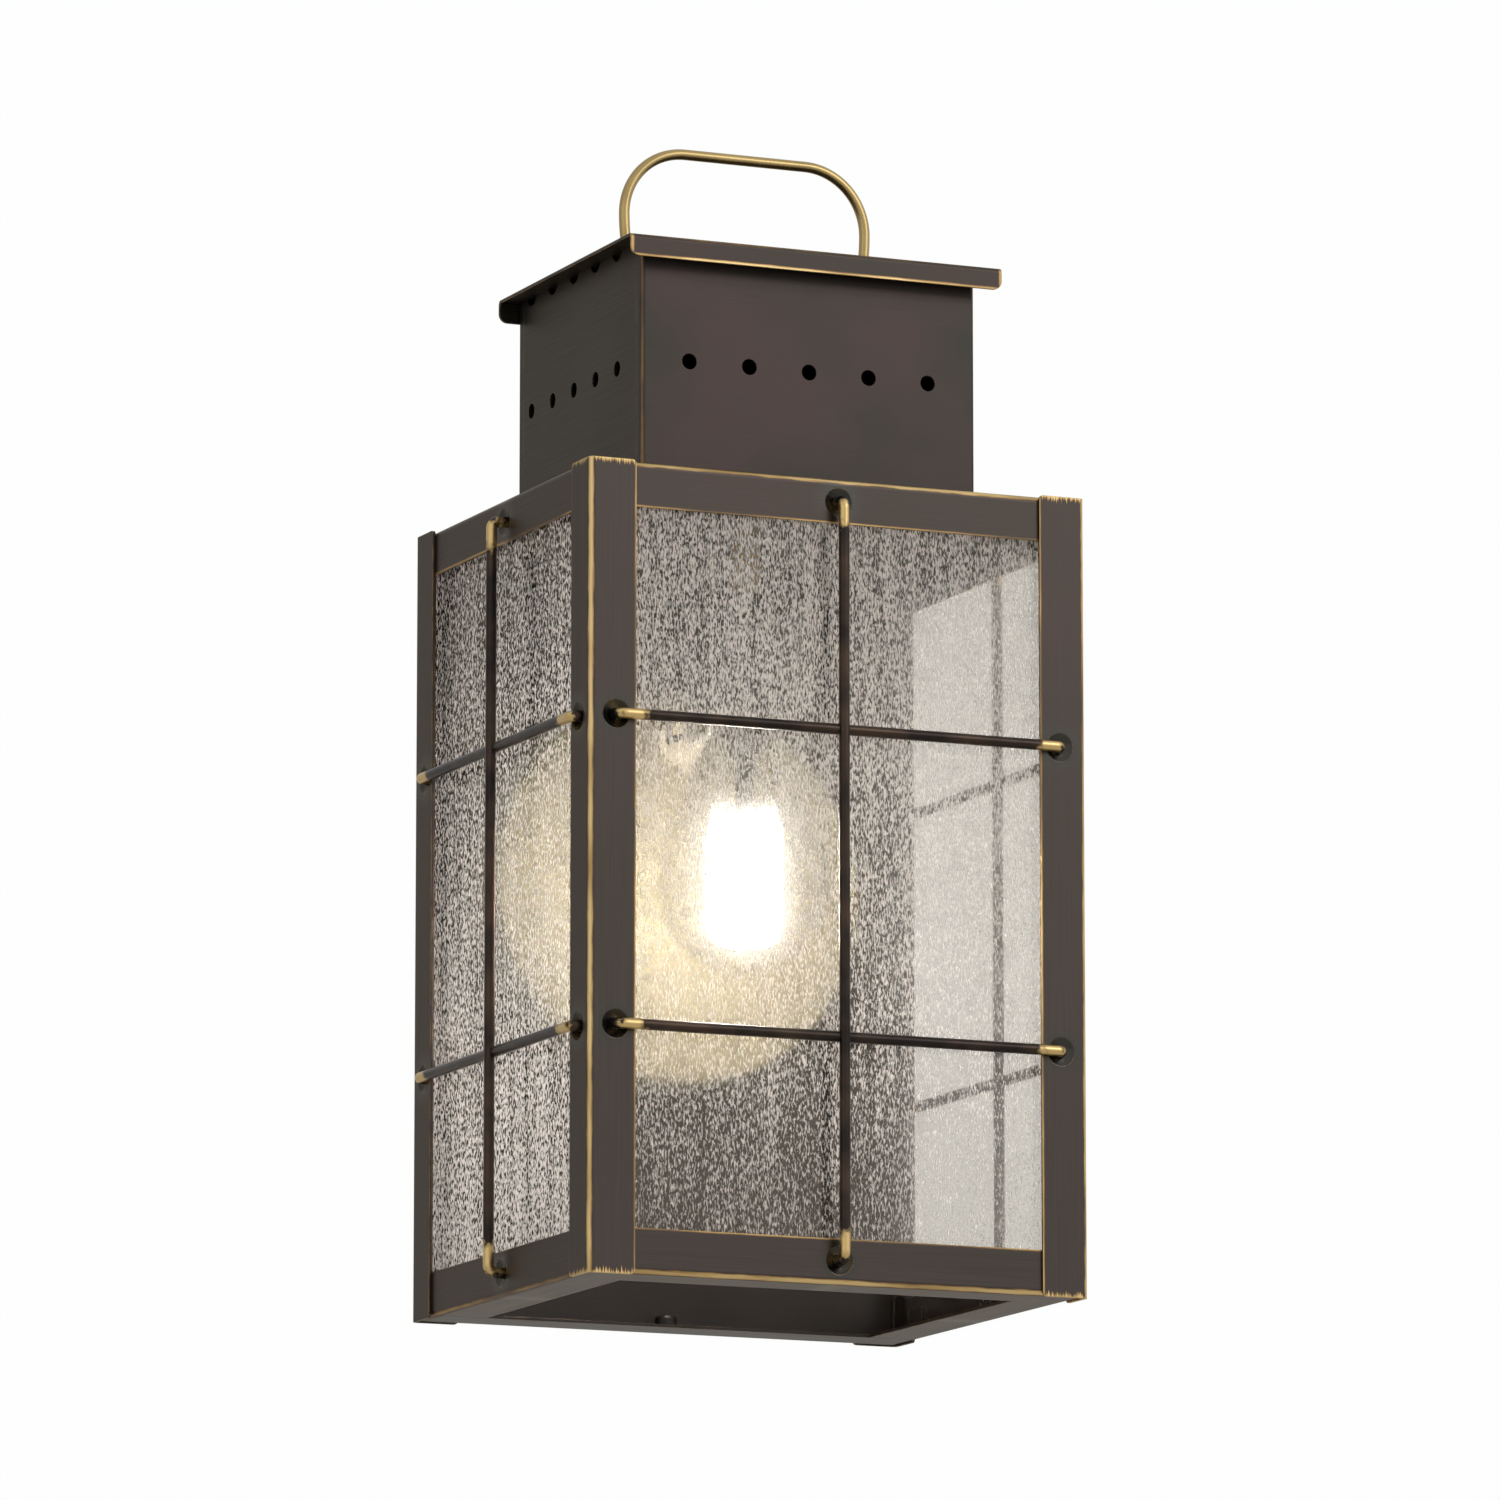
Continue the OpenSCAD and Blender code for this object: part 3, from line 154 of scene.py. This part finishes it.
def patinated_bronze(name, brush, edges=(), ends=None, dimples=(), tone=("473f3c", "443e3a"),
                     wear=0.5, metal=1.0):
    """Brushed brass sheet under a dark bronze patina, rubbed through to the brass on its edges.

    It gives a satin, nearly neutral brown with a faint grain along the brushing, green-black where
    the patina is thick and a gold line where hands and cloths have rubbed. Every sheet edge is
    rubbed as far as wear says, and each of edges (along, at, width, strength) over its own width.
    """
    material, tree = new_material(name)
    place, axes = mirrored_place(tree)
    # Brush marks: about 0.4 mm across, drawn a little coarser than real so that they show
    grain = [2600, 2600, 2600]
    grain["XYZ".index(brush)] = 26
    marks = add(tree, "Mapping", {"Vector": place, "Scale": grain}).outputs[0]
    marks = add(tree, "TexNoise", {"Vector": marks, "Scale": 1, "Detail": 2}).outputs[0]
    # The patina's tone clouds over some 60 mm
    cloud = add(tree, "TexNoise", {"Vector": place, "Scale": 16, "Detail": 3}).outputs[0]
    cloud = add(tree, "MapRange", {0: cloud, 1: 0.38, 2: 0.62}).outputs[0]
    brown = add(tree, "Mix", {0: cloud, 6: linear(tone[0]), 7: linear(tone[1])},
                data_type="RGBA").outputs[2]
    lit = add(tree, "MapRange", {0: marks, 1: LOW, 2: HIGH, 3: 0.91, 4: 1.09}).outputs[0]
    brown = add(tree, "Mix", {0: 1, 6: brown, 7: lit},
                data_type="RGBA", blend_type="MULTIPLY").outputs[2]
    # Sheet edges are rubbed in a line about 0.4 mm wide, in patches of some 8 mm
    bevel = add(tree, "Bevel", {"Radius": 0.4 * MM}, samples=4)
    normal = add(tree, "NewGeometry").outputs["Normal"]
    turn = add(tree, "VectorMath", {0: bevel.outputs[0], 1: normal},
               operation="DOT_PRODUCT").outputs["Value"]
    rub = add(tree, "TexNoise", {"Vector": place, "Scale": 130, "Detail": 3}).outputs[0]
    rub = add(tree, "MapRange", {0: rub, 1: 0.35, 2: 0.6, 3: 0.15, 4: 1}).outputs[0]
    worn = add(tree, "MapRange", {0: turn, 1: 0.99, 2: 0.9, 3: 0, 4: wear}).outputs[0]
    worn = add(tree, "Math", {0: worn, 1: rub}, operation="MULTIPLY").outputs[0]
    for along, at, width, strength in edges:
        line = rubbed_edge(tree, place, axes, along, at, width, strength)
        worn = add(tree, "Math", {0: worn, 1: line}, operation="MAXIMUM").outputs[0]
    if ends:
        comb = scratched_end(tree, place, axes, ends, 0.8)
        worn = add(tree, "Math", {0: worn, 1: comb}, operation="MAXIMUM").outputs[0]
    # Thick patina is glossier
    rough = add(tree, "MapRange", {0: marks, 1: LOW, 2: HIGH, 3: 0.36, 4: 0.46}).outputs[0]
    for across, at in dimples:
        thick = dark_dimple(tree, axes, across, at)
        brown = add(tree, "Mix", {0: thick, 6: brown, 7: linear("403f3b")},
                    data_type="RGBA").outputs[2]
        rough = add(tree, "Math", {0: thick, 1: -0.16, 2: rough},
                    operation="MULTIPLY_ADD").outputs[0]
    # A rubbed line goes from copper brown through old brass to bright brass
    ramp = add(tree, "ValToRGB", {0: worn})
    stops = ramp.color_ramp.elements
    stops[0].position, stops[0].color = 0.0, linear("6b5240")
    stops[1].position, stops[1].color = 0.9, linear("cfb480")
    middle = stops.new(0.45)
    middle.color = linear("a08255")
    cover = add(tree, "MapRange", {0: worn, 1: 0.05, 2: 0.4}).outputs[0]
    colour = add(tree, "Mix", {0: cover, 6: brown, 7: ramp.outputs[0]},
                 data_type="RGBA").outputs[2]
    bump = add(tree, "Bump", {"Height": marks, "Strength": 0.06, "Distance": 0.2 * MM,
                              "Normal": bevel.outputs[0]}).outputs[0]
    shader = add(tree, "BsdfPrincipled", {"Base Color": colour, "Metallic": metal,
                                          "Roughness": rough, "Normal": bump,
                                          "Specular Tint": linear("f2ece5")})
    surface(tree, shader.outputs[0])
    return material


def guard_rod_bronze(name, along, start, end):
    """Drawn brass rod under the same patina: its last centimetre at each end is rubbed bright.

    It stays dark where it turns in through the sheet.
    """
    material, tree = new_material(name)
    centre, half = (start + end) / 2, (end - start) / 2
    place = add(tree, "TexCoord").outputs["Object"]
    axis = add(tree, "SeparateXYZ", {0: place}).outputs["XYZ".index(along)]
    off = add(tree, "Math", {0: axis, 1: centre}, operation="SUBTRACT").outputs[0]
    off = add(tree, "Math", {0: off}, operation="ABSOLUTE").outputs[0]
    ragged = add(tree, "TexNoise", {"Vector": place, "Scale": 420, "Detail": 2}).outputs[0]
    shift = add(tree, "MapRange",
                {0: ragged, 1: LOW, 2: HIGH, 3: -1.8 * MM, 4: 1.8 * MM}).outputs[0]
    off = add(tree, "Math", {0: off, 1: shift}, operation="ADD").outputs[0]
    bright = add(tree, "MapRange",
                 {0: off, 1: half - 10.2 * MM, 2: half - 7.5 * MM, 3: 0, 4: 1}).outputs[0]
    bent = add(tree, "MapRange",
               {0: off, 1: half - 1 * MM, 2: half + 0.6 * MM, 3: 1, 4: 0}).outputs[0]
    bright = add(tree, "Math", {0: bright, 1: bent}, operation="MULTIPLY").outputs[0]
    soft = add(tree, "TexNoise", {"Vector": place, "Scale": 60, "Detail": 3}).outputs[0]
    soft = add(tree, "MapRange", {0: soft, 1: 0.4, 2: 0.65}).outputs[0]
    brown = add(tree, "Mix", {0: soft, 6: linear("2b2624"), 7: linear("43372f")},
                data_type="RGBA").outputs[2]
    colour = add(tree, "Mix", {0: bright, 6: brown, 7: linear("c4a873")},
                 data_type="RGBA").outputs[2]
    shader = add(tree, "BsdfPrincipled", {"Base Color": colour, "Metallic": 1, "Roughness": 0.33})
    surface(tree, shader.outputs[0])
    return material


def plain_metal(name, code, roughness, mottle=0.15):
    """Cast, drawn or plated metal: one colour with faint clouding, some 15 mm across."""
    material, tree = new_material(name)
    place, cloud, colour = mottled(tree, code, 70, 3, mottle)
    rough = add(tree, "MapRange", {0: cloud, 1: LOW, 2: HIGH,
                                   3: roughness - 0.05, 4: roughness + 0.05}).outputs[0]
    shader = add(tree, "BsdfPrincipled", {"Base Color": colour, "Metallic": 1, "Roughness": rough})
    surface(tree, shader.outputs[0])
    return material


def coated_pan(name, code, rim):
    """Pressed pan with a matt cream powder coat, its rim masked and left bronze.

    The coat throws the lamp's light forward as a pale disc. It is drawn darker than cream, because
    the lamp stands so near to it.
    """
    material, tree = new_material(name)
    place, grit, cream = mottled(tree, code, 900, 2, 0.04)
    flat = add(tree, "VectorMath", {0: place, 1: (1, 0, 1)}, operation="MULTIPLY").outputs[0]
    far = add(tree, "VectorMath", {0: flat}, operation="LENGTH").outputs["Value"]
    outside = add(tree, "Math", {0: far, 1: rim}, operation="GREATER_THAN").outputs[0]
    colour = add(tree, "Mix", {0: outside, 6: cream, 7: linear("4c4039")},
                 data_type="RGBA").outputs[2]
    bump = add(tree, "Bump", {"Height": grit, "Strength": 0.15, "Distance": 0.2 * MM}).outputs[0]
    shader = add(tree, "BsdfPrincipled", {"Base Color": colour, "Roughness": 0.8,
                                          "Metallic": outside, "Normal": bump,
                                          "Specular IOR Level": 0.15})
    surface(tree, shader.outputs[0])
    return material


def plain_body(name, code, roughness):
    """Moulded plastic, rubber, enamel or insulation: one colour, faintly uneven."""
    material, tree = new_material(name)
    place, cloud, colour = mottled(tree, code, 110, 3, 0.06)
    bump = add(tree, "Bump", {"Height": cloud, "Strength": 0.1, "Distance": 0.2 * MM}).outputs[0]
    shader = add(tree, "BsdfPrincipled", {"Base Color": colour, "Roughness": roughness,
                                          "Normal": bump})
    surface(tree, shader.outputs[0])
    return material


def rain_glass(name, axis, face, lift, through, polish, foot, head):
    """Rolled soda glass with a fine rain texture of upright beads on its outer face.

    Each bead shines with the room in front of it and glows with the lamp behind it: lift is how
    much of a bead does, and through is the glow's share. The glass between the beads is smooth,
    mirrors as much as polish says and shows what lies behind, so the pane reads as pale flecks
    over a darker ground. The beads are denser toward one end of the sheet than toward the other,
    by foot and head; this is painted light, which draws the pane lighter at the end where more
    light falls. The pane's outer face is at face along axis.
    """
    material, tree = new_material(name)
    place = add(tree, "TexCoord").outputs["Object"]
    # Beads of 0.5 mm by 1.7 mm, and twice as wide on the side panes, as the photo shows them
    fine = (1900, 1900 if axis == "Y" else 950, 600)
    bead = add(tree, "Mapping", {"Vector": place, "Scale": fine}).outputs[0]
    bead = add(tree, "TexNoise",
               {"Vector": bead, "Scale": 1, "Detail": 1, "Distortion": 0.5}).outputs[0]
    # They run thicker and thinner in upright streaks of 3 mm by 70 mm
    run = add(tree, "Mapping", {"Vector": place, "Scale": (300, 300, 14)}).outputs[0]
    run = add(tree, "TexNoise", {"Vector": run, "Scale": 1, "Detail": 2}).outputs[0]
    run = add(tree, "MapRange", {0: run, 1: LOW, 2: HIGH, 3: -0.045, 4: 0.045}).outputs[0]
    height = add(tree, "Math", {0: bead, 1: run}, operation="ADD").outputs[0]
    # Painted light: more beads toward the end of the pane where more light falls, so that end
    # reads lighter
    up = add(tree, "SeparateXYZ", {0: place}).outputs[2]
    painted_light_by_height = add(tree, "MapRange", {0: up, 1: -0.14, 2: 0, 3: foot, 4: head}).outputs[0]
    height = add(tree, "Math", {0: height, 1: painted_light_by_height}, operation="ADD").outputs[0]
    pale = add(tree, "MapRange", {0: height, 1: 0.415, 2: 0.625, 3: 0, 4: 1}).outputs[0]
    # From behind, the beads don't catch the room
    behind = add(tree, "NewGeometry").outputs["Backfacing"]
    kept = add(tree, "MapRange", {0: behind, 3: 1, 4: 0.12}).outputs[0]
    pale = add(tree, "Math", {0: pale, 1: kept}, operation="MULTIPLY").outputs[0]
    bump = add(tree, "Bump", {"Height": height, "Strength": 0.35, "Distance": 0.5 * MM}).outputs[0]
    # Between the beads the glass lets through some two thirds, bends a little and mirrors a little
    shade = add(tree, "Mix", {0: behind, 6: linear("dcd8d2"), 7: linear("f2f2f0")},
                data_type="RGBA").outputs[2]
    straight = add(tree, "BsdfTransparent", {"Color": shade}).outputs[0]
    bent = add(tree, "BsdfRefraction",
               {"Color": linear("f6f2ee"), "IOR": 1.45, "Roughness": 0.42}).outputs[0]
    turned = add(tree, "Math", {0: kept, 1: 0.18}, operation="MULTIPLY").outputs[0]
    clear = add(tree, "MixShader", {0: turned, 1: straight, 2: bent}).outputs[0]
    sheen = add(tree, "BsdfGlossy", {"Color": linear("ecdccd"), "Roughness": 0.1}).outputs[0]
    mirror = add(tree, "Fresnel", {"IOR": 1.5}).outputs[0]
    dull = add(tree, "MapRange", {0: behind, 3: polish, 4: 0.05}).outputs[0]
    mirror = add(tree, "Math", {0: mirror, 1: dull}, operation="MULTIPLY").outputs[0]
    smooth = add(tree, "MixShader", {0: mirror, 1: clear, 2: sheen}).outputs[0]
    shine = add(tree, "BsdfGlossy",
                {"Color": linear("fbf3ea"), "Roughness": 0.12, "Normal": bump}).outputs[0]
    glow = add(tree, "BsdfTranslucent", {"Color": linear("fcf5ee"), "Normal": bump}).outputs[0]
    lit = add(tree, "MixShader", {0: through, 1: shine, 2: glow}).outputs[0]
    bright = add(tree, "MixShader", {0: lift, 1: clear, 2: lit}).outputs[0]
    outer = add(tree, "MixShader", {0: pale, 1: smooth, 2: bright}).outputs[0]
    # The inner face is plain, and straightens what the outer face has bent
    bent_ray = add(tree, "LightPath").outputs["Is Transmission Ray"]
    clear = add(tree, "BsdfTransparent", {"Color": linear("fafafa")}).outputs[0]
    leave = add(tree, "BsdfRefraction",
                {"Color": linear("fafafa"), "IOR": 1.45, "Roughness": 0}).outputs[0]
    inner = add(tree, "MixShader", {0: bent_ray, 1: clear, 2: leave}).outputs[0]
    depth = add(tree, "SeparateXYZ", {0: place}).outputs["XYZ".index(axis)]
    depth = add(tree, "Math", {0: depth}, operation="ABSOLUTE").outputs[0]
    side = add(tree, "Math", {0: depth, 1: face - 1 * MM}, operation="GREATER_THAN").outputs[0]
    surface(tree, add(tree, "MixShader", {0: side, 1: inner, 2: outer}).outputs[0])
    return material


def clear_glass(name):
    """Thin blown glass, smooth and colourless: it shows only in its reflections."""
    material, tree = new_material(name)
    clear = add(tree, "BsdfTransparent", {"Color": linear("ffffff")}).outputs[0]
    gloss = add(tree, "BsdfGlossy", {"Color": linear("ffffff"), "Roughness": 0.05}).outputs[0]
    edge = add(tree, "Fresnel", {"IOR": 1.45}).outputs[0]
    edge = add(tree, "Math", {0: edge, 1: 0.1}, operation="MINIMUM").outputs[0]
    surface(tree, add(tree, "MixShader", {0: edge, 1: clear, 2: gloss}).outputs[0])
    return material


def lit_core(name, strength, top):
    """Frosted inner bulb, lit: white and blown out by the camera, dimmer at its crown."""
    material, tree = new_material(name)
    up = add(tree, "TexCoord").outputs["Object"]
    up = add(tree, "SeparateXYZ", {0: up}).outputs[2]
    level = add(tree, "MapRange", {0: up, 1: top - 6 * MM, 2: top, 3: strength, 4: 1}).outputs[0]
    glow = add(tree, "BsdfPrincipled", {"Base Color": linear("fff3dc"), "Roughness": 0.6,
                                        "Emission Color": linear("fefaf5"),
                                        "Emission Strength": level})
    surface(tree, glow.outputs[0])
    return material


# Sheets: the edges that hands rub, and the dimples of the guard rods
post_front = patinated_bronze(
    "patinated brass, front posts", "Z",
    edges=[("Z", (POST_X, POST_FRONT), 1.7 * MM, 1.0),
           ("Z", (POST_INNER_X, POST_FRONT), 0.8 * MM, 0.8)],
    ends=(FOOT, HEAD),
    dimples=[("X", (FRONT_ROD_END, ROD_LOW)), ("X", (FRONT_ROD_END, ROD_HIGH)),
             ("Y", (SIDE_ROD_FRONT, ROD_LOW)), ("Y", (SIDE_ROD_FRONT, ROD_HIGH))])
post_back = patinated_bronze(
    "patinated brass, back posts", "Z",
    edges=[("Z", (POST_X, 0), 2.0 * MM, 0.35)],
    dimples=[("Y", (SIDE_ROD_BACK, ROD_LOW)), ("Y", (SIDE_ROD_BACK, ROD_HIGH))])
front_rails = patinated_bronze(
    "patinated brass, front rails", "X",
    edges=[("X", (RAIL_FRONT, RAIL_HEAD), 1.8 * MM, 1.0),
           ("X", (RAIL_FRONT, HEAD_RAIL_FOOT), 0.8 * MM, 0.7),
           ("X", (RAIL_FRONT, RAIL_FOOT), 1.8 * MM, 1.0),
           ("X", (RAIL_FRONT, FOOT_RAIL_TOP), 0.8 * MM, 0.7)],
    dimples=[("X", (0, UPRIGHT_HEAD)), ("X", (0, UPRIGHT_FOOT))])
side_rails = patinated_bronze(
    "patinated brass, side rails", "Y",
    edges=[("Y", (RAIL_X, RAIL_HEAD), 1.2 * MM, 0.35),
           ("Y", (RAIL_X, HEAD_RAIL_FOOT), 0.9 * MM, 0.6),
           ("Y", (RAIL_X, RAIL_FOOT), 1.5 * MM, 0.5)],
    dimples=[("Y", (SIDE_MIDDLE, UPRIGHT_HEAD)), ("Y", (SIDE_MIDDLE, UPRIGHT_FOOT))])
vent_sheet = patinated_bronze(
    "patinated brass, vent box", "X",
    edges=[("Z", (VENT_X, VENT_FRONT), 1.3 * MM, 0.3)],
    tone=("413836", "383632"), wear=0.3)
vent_side_sheet = patinated_bronze(
    "patinated brass, vent box sides", "Y", tone=("3f3a36", "383632"), wear=0.3)
roof_sheet = patinated_bronze(
    "patinated brass, roof", "X",
    edges=[("X", (ROOF_FRONT, ROOF_LIP_FOOT), 1.1 * MM, 1.0),
           ("X", (ROOF_FRONT, ROOF_LIP_HEAD), 1.2 * MM, 0.4),
           ("Z", (ROOF_X, ROOF_FRONT), 1.4 * MM, 0.9)],
    tone=("413936", "3d3935"), wear=0.6)
# Painted shade: the sheets inside the lantern get the same patinated brass drawn about half as
# light, for the shade inside it, and less metallic
shaded_inner_sheet = patinated_bronze(
    "patinated brass, inner sheet, darkened as painted shade", "X", tone=("312b28", "2b2724"), wear=0.2, metal=0.6)

front_rod = guard_rod_bronze("drawn bronze rod along X", "X", -FRONT_ROD_END, FRONT_ROD_END)
side_rod = guard_rod_bronze("drawn bronze rod along Y", "Y", SIDE_ROD_FRONT, SIDE_ROD_BACK)
upright_rod = guard_rod_bronze("drawn bronze rod along Z", "Z", UPRIGHT_FOOT, UPRIGHT_HEAD)

pan_sheet = coated_pan("cream powder coat on the box pan", "7a735d", PAN_COAT_R)
aged_brass = plain_metal("aged satin brass", "a38d60", 0.3, 0.14)
bright_brass = plain_metal("bright brass", "cfae6b", 0.3, 0.08)
zinc = plain_metal("zinc plated steel", "a9a9a6", 0.35)
nickel = plain_metal("nickel plated lamp base", "b9b5aa", 0.3)
solder = plain_metal("dull solder", "a9a59c", 0.5)
dark_screw = plain_metal("blackened screw", "3a3633", 0.45)
green_screw = plain_body("green enamel on the earthing screw", "3f7a4a", 0.35)
black_glass = plain_body("black glass insulator", "141416", 0.15)
phenolic = plain_body("moulded phenolic lampholder", "2a2320", 0.35)
rubber = plain_body("black rubber bushing", "1b1b1b", 0.7)
black_wire = plain_body("black insulation", "1c1c1c", 0.5)
white_wire = plain_body("white insulation", "d8d4ca", 0.5)
nylon = plain_body("moulded nylon bushing", "c9bfa6", 0.5)
orange_cap = plain_body("moulded orange connector", "c06a2a", 0.45)

# foot and head paint light into the panes: the front pane is drawn lighter toward its head, the
# side panes toward their foot
front_glass = rain_glass("rain glass, front", "Y", PANE_FRONT,
                         lift=0.85, through=0.88, polish=1.9, foot=-0.1, head=0.012)
side_glass = rain_glass("rain glass, sides", "X", PANE_SIDE,
                        lift=0.92, through=0.7, polish=0.65, foot=0.03, head=-0.035)
lamp_glass = clear_glass("clear lamp glass")
core = lit_core("frosted glass, lit", 90, CORE_Z + CORE_HALF)

dress(["post_front_left", "post_front_right"], post_front)
dress(["post_back_left", "post_back_right"], post_back)
dress(["head_rail_front", "foot_rail_front"], front_rails)
dress(["head_rail_left", "head_rail_right", "foot_rail_left", "foot_rail_right"], side_rails)
dress(["vent_front", "vent_back"], vent_sheet)
dress(["vent_left", "vent_right"], vent_side_sheet)
dress(["roof"], roof_sheet)
dress(["back_panel", "top_plate", "glass_clips", "pan_rivets"], shaded_inner_sheet)
dress(["box_pan"], pan_sheet)
dress(["rod_front_upper", "rod_front_lower"], front_rod)
dress(["rod_left_upper", "rod_left_lower", "rod_right_upper", "rod_right_lower"], side_rod)
dress(["rod_front_upright", "rod_left_upright", "rod_right_upright"], upright_rod)
dress(["carrying_loop"], aged_brass)
dress(["cap_nuts", "nipple", "screw_shell", "centre_contact"], bright_brass)
dress(["vent_screws", "loop_nuts", "wall_strap", "wall_studs", "stud_nuts", "nipple_nuts",
       "nipple_washer"], zinc)
dress(["earth_screw"], green_screw)
dress(["foot_screw", "holder_cap"], dark_screw)
dress(["wire_connectors"], orange_cap)
dress(["lead_live"], black_wire)
dress(["lead_neutral"], white_wire)
dress(["plate_bushing"], rubber)
dress(["pan_bushing"], nylon)
dress(["holder_body"], phenolic)
dress(["lamp_tip"], solder)
dress(["lamp_insulator"], black_glass)
dress(["lamp_base"], nickel)
dress(["lamp_stem", "lamp_glass"], lamp_glass)
dress(["lamp_core"], core)
dress(["pane_front"], front_glass)
dress(["pane_left", "pane_right"], side_glass)


# Floor, light and camera

FLOOR_Z, FLOOR_SIZE = -1.1, 12
LIGHTS_AIM = (0, -0.08, 0.03)
CAMERA_AT, CAMERA_AIM = (-1.3384, -3.12619, -0.54725), (0.00117, -0.076, 0.03836)
SENSOR, LENS = 36, 243.07

bpy.ops.mesh.primitive_plane_add(size=FLOOR_SIZE, location=(0, 0, FLOOR_Z))
floor = bpy.context.object
floor.name = "studio_floor"
floor_paint, tree = new_material("matt white floor")
chalk = add(tree, "BsdfPrincipled", {"Base Color": linear("ece9e4"), "Roughness": 0.9})
surface(tree, chalk.outputs[0])
floor.data.materials.append(floor_paint)

world = bpy.data.worlds.new("white studio")
bpy.context.scene.world = world
world.use_nodes = True
sky = world.node_tree
sky.nodes.clear()
# Seen directly or through the glass, the studio is plain white. In gloss, and a little less bright
# as light, it is brightest in front, up and to the right, and falls off behind.
path = add(sky, "LightPath")
seen = add(sky, "Math", {0: path.outputs["Is Camera Ray"], 1: path.outputs["Is Transmission Ray"]},
           operation="MAXIMUM").outputs[0]
toward = add(sky, "TexCoord").outputs["Generated"]
toward = add(sky, "VectorMath", {0: toward, 1: (0.35, -0.75, 0.55)},
             operation="DOT_PRODUCT").outputs["Value"]
gloss = add(sky, "MapRange", {0: toward, 1: -0.8, 2: 0.8, 3: 0.6, 4: 1.0}).outputs[0]
soft = add(sky, "Math", {0: gloss, 1: 0.8}, operation="MULTIPLY").outputs[0]
level = add(sky, "Mix", {0: path.outputs["Is Glossy Ray"], 2: soft, 3: gloss}).outputs[0]
level = add(sky, "Mix", {0: seen, 2: level, 3: 1.0}).outputs[0]
paper = add(sky, "Background", {"Color": linear("fdfefd"), "Strength": level})
sky.links.new(paper.outputs[0], add(sky, "OutputWorld").inputs["Surface"])


def soft_box(name, place, size, power):
    """A square area light that faces the lantern."""
    bpy.ops.object.light_add(type="AREA", location=place)
    lamp = bpy.context.object
    lamp.name = name
    lamp.data.shape = "SQUARE"
    lamp.data.size = size
    lamp.data.energy = power
    aim = Vector(LIGHTS_AIM) - Vector(place)
    lamp.rotation_euler = aim.to_track_quat("-Z", "Y").to_euler()


soft_box("key_soft_box", (1.4, -2.2, 1.3), 1.2, 16)
soft_box("fill_soft_box", (-2.2, -1.4, 0.6), 1.6, 3)

bpy.ops.object.camera_add(location=CAMERA_AT)
camera = bpy.context.object
camera.name = "photo_camera"
aim = Vector(CAMERA_AIM) - camera.location
camera.rotation_euler = aim.to_track_quat("-Z", "Y").to_euler()
camera.data.sensor_width = SENSOR
camera.data.lens = LENS
camera.data.clip_end = 20
bpy.context.scene.camera = camera
bpy.context.scene.view_settings.view_transform = "Standard"
